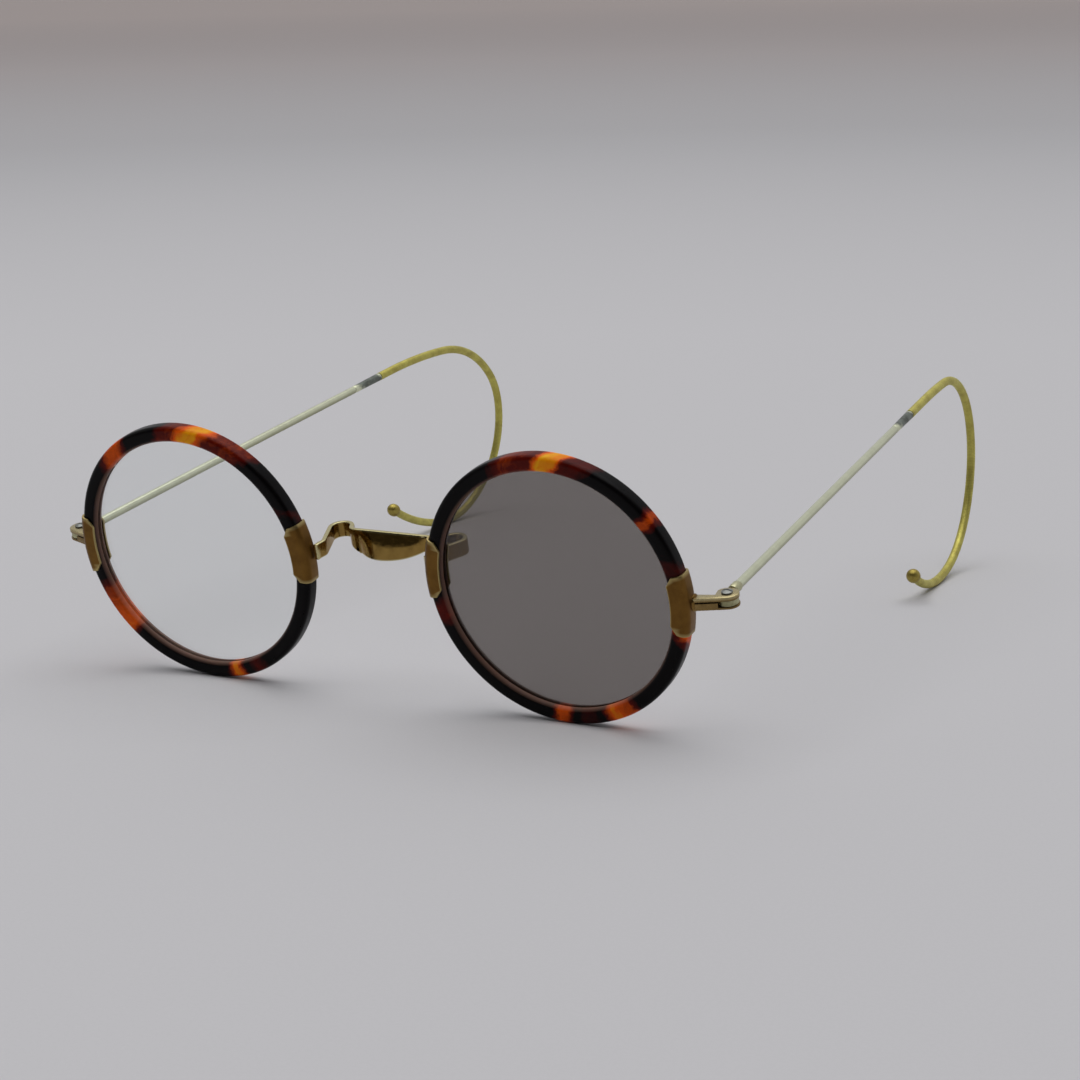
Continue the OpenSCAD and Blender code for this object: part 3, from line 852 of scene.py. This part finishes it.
class SPECTACLES_OT_hinges(bpy.types.Operator):
    """The hinge arms with their forks, and the slotted screws"""
    bl_idname = "spectacles.hinges"
    bl_label = "Hinge arms and screws"

    def execute(self, context):
        s = sizes()
        brass = metal_material("arm brass", (128, 100, 54), (84, 60, 28), (206, 196, 150), 0.6, 0.26,
                               strength=0.15)
        x, y = s.rim_spacing / 2 + s.web_r + s.gap - s.hinge_x, -s.hinge_back
        start, end = Vector((x, y)), (x, y + s.arm_width)
        touch = touching(start, Vector((0, 0)), s.eye_r)
        along = Vector((cos(radians(touch + 90)), sin(radians(touch + 90))))
        inner = start + Vector((0, 0.8 * s.arm_width)) + along * (start.length - s.eye_r * 1.4)
        eye_turn = 236  # how far round the screw the eye goes before the arm's inner edge
        outline = [tuple(start), *arc(0, 0, s.eye_r, touch, touch + eye_turn, 36), tuple(inner), end]
        tongue_low = s.tongue_top - s.tongue_thick
        for side in SIDES:
            bm = bmesh.new()
            plate(bm, outline, s.arm_top - s.upper_leaf, s.arm_top, 0.12)
            plate(bm, outline, s.arm_top - s.arm_height, tongue_low - s.play, 0.08)
            # The solid root between the leaves, kept clear of the tongue's disc.
            near = -0.62
            root = [tuple(start), (near, y + (near - x) * along.y / along.x), (-0.9, -1.08), (-1.25, -0.87),
                    (x + 0.9, -0.87), end]
            plate(bm, root, tongue_low - 0.2, s.tongue_top - 0.12, 0.05)
            core = [(x, y + 0.4), (-1.5, -1.45), (-1.5, -1.15), (x, end[1] - 0.2)]
            plate(bm, core, tongue_low, s.arm_top - 0.3)
            foot = (x - 0.12, y + s.arm_width / 2, s.arm_top - s.arm_height / 2)
            solder = (Matrix.Translation(foot)
                      @ Matrix.Diagonal((0.5, s.arm_width * 0.72, s.arm_height * 0.72, 1)))
            bmesh.ops.create_uvsphere(bm, u_segments=24, v_segments=12, radius=1, matrix=solder)
            # Only the top edges keep much of the brighter edge colour: rubbed by hands, and a painted
            # highlight where the light from above falls.
            worn = bm.verts.layers.float["worn"]
            for vert in bm.verts:
                if vert.co.z < s.arm_top - 0.2:
                    vert[worn] *= 0.15
            piece_from(bm, word(side) + "_hinge_arm", "fork", hinge_place(s, side), brass)
        silver = metal_material("screw steel", "screw_silver", (110, 110, 102), (220, 220, 216), 0.5, 0.42,
                                worn_and_highlighted_edges=False)
        for side in SIDES:
            dress(word(side) + "_hinge_screw", silver)
        return {"FINISHED"}


class SPECTACLES_OT_wires(bpy.types.Operator):
    """The straight temple wires and the butts that turn in the hinge forks"""
    bl_idname = "spectacles.wires"
    bl_label = "Temple wires"

    def execute(self, context):
        s = sizes()
        # The pale wire's tarnish colour also paints shade on its underside, through under.
        pale = metal_material("pale wire", "wire_pale", (122, 122, 84), (236, 236, 220), 0.12, 0.28,
                              strength=0.0, under=0.9)
        dull = metal_material("dull knuckle", (196, 194, 158), (122, 114, 74), (214, 212, 180), 0.6, 0.4,
                              strength=0.1)
        edge = 0.1
        for side in SIDES:
            bm = bmesh.new()
            r, a, b = s.wire_d / 2, s.butt_from + s.butt_length + s.gap, s.splice_from
            chain(bm, [(0, a, 0), (r - edge, a, 0), (r, a + edge, 0),
                       (r, b - edge, 0), (r - edge, b, 0), (0, b, 0)])
            longest = max(bm.edges, key=lambda e: e.calc_length())
            bmesh.ops.subdivide_edges(bm, edges=[longest], cuts=24)
            revolve(bm, [*bm.verts, *bm.edges])
            temple_piece(bm, s, side, "wire", "rod", pale)
            r, a, b = s.butt_d / 2, s.butt_from, s.butt_from + s.butt_length
            bm = rod_from([(0, a), (r - 0.3, a), (r - 0.1, a + 0.08), (r, a + 0.3), (r, b - 0.22),
                           (r - 0.06, b - 0.08), (r - 0.15, b), (0, b)])
            bm.transform(hinge_place(s, side).inverted() @ temple_place(s, side))
            # The tongue: a disc round the screw, and a tail into the butt.
            half, into = r - 0.05, a + 0.7
            toe = Matrix.Rotation(temple_shape(side).toe, 2)
            tail = [tuple(toe @ Vector(p)) for p in ((-half, 0), (half, 0), (half, into), (-half, into))]
            for outline in (arc(0, 0, s.tongue_r, 0, 352.5, 47), tail):
                plate(bm, outline, s.tongue_top - s.tongue_thick, s.tongue_top)
            temple_piece(bm, s, side, "butt", "knuckle", dull, hinge_place(s, side))
        return {"FINISHED"}


class SPECTACLES_OT_splices(bpy.types.Operator):
    """The soldered sleeves that join the straight wires to the ear cables"""
    bl_idname = "spectacles.splices"
    bl_label = "Splices"

    def execute(self, context):
        s = sizes()
        solder, shader, vector = new_material("grey solder")
        wander = map_range(noise(vector, 700, 3, 0.6), 0.3, 0.7, -0.3, 0.3)
        bare = map_range(plus(attribute(vector, "cover"), wander), 0.2, 0.75, 1, 0)
        look = metal_look(vector, "solder_grey", (66, 68, 62), "wire_pale", 0.7, bare, 0.4)
        fill(shader, Metallic=1.0, Base_Color=look["Colour"], Roughness=look["Roughness"])
        bump(look["Height"], shader, 0.4, SCRATCH)
        taper, rings = 0.06, 12
        for side in SIDES:
            r, a, b = s.splice_d / 2, s.splice_from + s.gap, s.cable_from
            swell = [(r - taper * (1 - i / rings), a + 0.3 + (b - a - 0.9) * i / rings)
                     for i in range(rings + 1)]
            bm = rod_from([(0, a), (r - 0.1, a), (r - taper, a + 0.15), *swell,
                           (r, b - 0.3), (r - 0.08, b), (0, b)])
            # The solder starts slowly over the sleeve and ends sooner, both on a slant.
            slope, slow, soon, past = 1.2, 3.6, 1.2, 0.6
            covers = bm.verts.layers.float.new("cover")
            for vert in bm.verts:
                slant = vert.co.y + vert.co.z * slope
                vert[covers] = min(1, max(0, (slant - a) / slow), max(0, (b + past - slant) / soon))
            temple_piece(bm, s, side, "splice", "sleeve", solder)
        return {"FINISHED"}


class SPECTACLES_OT_cables(bpy.types.Operator):
    """The wound ear cables, swept round their bends, over their core wires"""
    bl_idname = "spectacles.cables"
    bl_label = "Ear cables"

    around = 24  # corners round the cable
    step = 0.6  # length of one step round a bend

    def execute(self, context):
        s = sizes()
        olive = cable_material(s)
        for side in SIDES:
            bm = bmesh.new()
            along = bm.verts.layers.float.new("along")
            place_round = bm.verts.layers.int.new("round")
            start = Matrix.Translation((0, s.cable_from + s.gap, 0)) @ UPRIGHT
            ring = bmesh.ops.create_circle(bm, cap_ends=False, segments=self.around, radius=s.cable_d / 2,
                                           matrix=start)["verts"]
            for i, vert in enumerate(ring):
                vert[place_round] = i
            edges = list({e for v in ring for e in v.link_edges})
            bmesh.ops.holes_fill(bm, edges=edges, sides=0)
            length = 0.0

            def carry_on(made, by):
                """The ring and edges that a step ended on, marked with the length so far."""
                ring, edges = of_kind(made, BMVert), of_kind(made, BMEdge)
                for vert in ring:
                    vert[along] = length + by
                return ring, edges, length + by

            straight = temple_shape(side).straight * 1000 - s.gap
            moves = max(2, round(straight / 2))
            for i in range(moves):
                made = bmesh.ops.extrude_edge_only(bm, edges=edges)["geom"]
                ring, edges, length = carry_on(made, straight / moves)
                bmesh.ops.translate(bm, verts=ring, vec=(0, straight / moves, 0))
            for y, z, heading, r, angle in curl_bends(s, side)[0]:
                steps = max(4, round(r * angle / self.step))
                centre = (0, y + r * sin(heading), z - r * cos(heading))
                for i in range(steps):
                    made = spin(bm, ring + edges, (1, 0, 0), -angle / steps, 1, centre)
                    ring, edges, length = carry_on(made, r * angle / steps)
            bmesh.ops.holes_fill(bm, edges=edges, sides=0)
            uv = bm.loops.layers.uv.new("winding")
            for face in bm.faces:
                rounds = [loop.vert[place_round] for loop in face.loops]
                wrapped = max(rounds) - min(rounds) > 2 and len(rounds) == 4
                for loop, at in zip(face.loops, rounds):
                    at += self.around if wrapped and at < self.around / 2 else 0
                    loop[uv].uv = (loop.vert[along], at / self.around)
            temple_piece(bm, s, side, "cable", "winding", olive)
            dress(word(side) + "_cable_core", bpy.data.materials["pale wire"])
        return {"FINISHED"}


class SPECTACLES_OT_balls(bpy.types.Operator):
    """The ball at the end of each cable, a little long, with a short neck"""
    bl_idname = "spectacles.balls"
    bl_label = "Balls"

    def execute(self, context):
        s = sizes()
        olive = metal_material("ball brass", (176, 160, 84), (116, 92, 44), (230, 226, 180), 0.6, 0.44,
                               strength=0.3, worn_and_highlighted_edges=False)
        for side in SIDES:
            y, z, heading = curl_bends(s, side)[1]
            stretch, squeeze = 0.06, 0.17
            long, wide = s.ball_d / 2 + stretch, s.ball_d / 2 - squeeze
            seat = sqrt(s.ball_d ** 2 - s.cable_d ** 2) / 2
            neck = s.cable_d / 2
            profile = [(0, s.gap), (neck, s.gap), (neck + 0.02, 0.1)]
            for turned_by in range(155, -1, -5):
                a = radians(turned_by)
                x, along = wide * sin(a), seat + long * cos(a)
                if x > neck + 0.04 or along > seat:
                    profile.append((x, along))
            bm = rod_from(profile, 40)
            place = temple_place(s, side) @ Matrix.Translation((0, y, z)) @ Matrix.Rotation(heading, 4, "X")
            temple_piece(bm, s, side, "ball", "end", olive, place)
        return {"FINISHED"}


class SPECTACLES_OT_camera(bpy.types.Operator):
    """The camera, at the photograph's place and angle"""
    bl_idname = "spectacles.camera"
    bl_label = "Camera"

    # In the front's own plane, as fitted to the photograph: the eye in millimetres, and where its axes point.
    focal_length = 86.764
    eye = Vector((209.264, -296.186, 152.205))
    right = Vector((0.87469819, 0.46888434, -0.12268067))
    down = Vector((0.08382047, -0.39565648, -0.91456551))
    ahead = Vector((-0.47736485, 0.78968565, -0.38538211))

    def execute(self, context):
        s = sizes()
        data = bpy.data.cameras.new("camera")
        data.lens, data.sensor_width = self.focal_length, 36
        data.clip_start, data.clip_end = 0.01, 80
        camera = add_object("camera", data)
        seen_from = Matrix((self.right, -self.down, -self.ahead)).transposed().to_4x4()
        place = stand(s)
        camera.matrix_world = (Matrix.Translation((place @ self.eye) / 1000) @ place.to_3x3().to_4x4()
                               @ seen_from)
        context.scene.camera = camera
        return {"FINISHED"}


def area_light(name, place, aim, width, power):
    data = bpy.data.lights.new(name, "AREA")
    data.shape, data.size, data.energy = "DISK", width, power
    lamp = add_object(name, data)
    lamp.location = place
    lamp.rotation_euler = (Vector(aim) - Vector(place)).to_track_quat("-Z", "Y").to_euler()


class SPECTACLES_OT_stage(bpy.types.Operator):
    """A plain pale table with soft studio light from above"""
    bl_idname = "spectacles.stage"
    bl_label = "Stage"

    def execute(self, context):
        bm = bmesh.new()
        table_r = 40  # in metres, so that its edge is never seen
        bmesh.ops.create_circle(bm, cap_ends=True, segments=128, radius=table_r)
        material, shader, vector = new_material("pale table")
        reach = new_node("ShaderNodeVectorMath", vector)
        reach.operation = "LENGTH"
        feed(reach.inputs[0], vector)
        far = reach.outputs["Value"]
        # Far off the table glows a little, as the photograph's floor does, and nearby it doesn't.
        glow = ramp(math_node("DIVIDE", far, 10.0), (0.12, (0, 0, 0, 1)),
                    (0.3, (0.064, 0.043, 0.034, 1)), (0.8, (0.11, 0.078, 0.062, 1)))
        grain = map_range(noise(vector, 1800, 3, 0.6), 0.3, 0.7, 0, 0.04)
        grey = mix_colour(grain, colour_of("table_grey"), (0.3, 0.3, 0.3, 1))
        shaded = mix_colour(map_range(far, 0.35, 1.4, 0, 0.18), grey, (0, 0, 0, 1))
        fill(shader, Base_Color=shaded, Emission_Color=glow, Emission_Strength=1.0, Roughness=0.9,
             Specular_IOR_Level=0.1)
        table = add_mesh("table", bm, material)
        area_light("overhead", (-0.15, 0.1, 2.4), (-0.15, 0.1, 0), 3.2, 35)
        area_light("window", (-0.9, -0.3, 0.55), (0, 0, 0.02), 0.5, 0.4)
        world = bpy.data.worlds.new("studio")
        world.use_nodes = True
        nodes = world.node_tree.nodes
        back = nodes["Background"]
        _, y, z = split(nodes.new("ShaderNodeTexCoord").outputs["Generated"])
        # The room is dark, but for a pale wall behind the spectacles and a pale ceiling.
        dark, pale = (0.05, 0.047, 0.045, 1), (0.56, 0.56, 0.58, 1)
        bright = math_node("MAXIMUM", map_range(y, -0.15, 0.4, 0, 1), map_range(z, 0.7, 0.92, 0, 1))
        fill(back, Strength=1.0, Color=mix_colour(bright, dark, pale))
        context.scene.world = world
        context.scene.view_settings.view_transform = "Standard"
        return {"FINISHED"}


OPERATORS = (SPECTACLES_OT_camera, SPECTACLES_OT_rims, SPECTACLES_OT_lenses, SPECTACLES_OT_clamps,
             SPECTACLES_OT_bridge, SPECTACLES_OT_hinges, SPECTACLES_OT_wires, SPECTACLES_OT_splices,
             SPECTACLES_OT_cables, SPECTACLES_OT_balls, SPECTACLES_OT_stage)


GROUPS = (("spectacles_front", FrontSizes), ("spectacles_hinge", HingeSizes),
          ("spectacles_temples", TempleShape), ("spectacles_finishes", Finishes))


class SPECTACLES_PT_panel(bpy.types.Panel):
    bl_idname = "SPECTACLES_PT_panel"
    bl_label = "Spectacles"
    bl_space_type = "VIEW_3D"
    bl_region_type = "UI"
    bl_category = "Spectacles"

    def draw(self, context):
        for operator in OPERATORS:
            self.layout.operator(operator.bl_idname)
        for name, group in GROUPS:
            box = self.layout.box()
            for key in group.__annotations__:
                box.prop(getattr(context.scene, name), key)


def register():
    for name, group in GROUPS:
        bpy.utils.register_class(group)
        setattr(bpy.types.Scene, name, bpy.props.PointerProperty(type=group))
    for operator in OPERATORS:
        bpy.utils.register_class(operator)
    bpy.utils.register_class(SPECTACLES_PT_panel)


def unregister():
    bpy.utils.unregister_class(SPECTACLES_PT_panel)
    for operator in reversed(OPERATORS):
        bpy.utils.unregister_class(operator)
    for name, group in reversed(GROUPS):
        delattr(bpy.types.Scene, name)
        bpy.utils.unregister_class(group)


def main():
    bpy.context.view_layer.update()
    register()
    for operator in OPERATORS:
        group, name = operator.bl_idname.split(".")
        getattr(getattr(bpy.ops, group), name)()


if __name__ == "__main__":
    main()
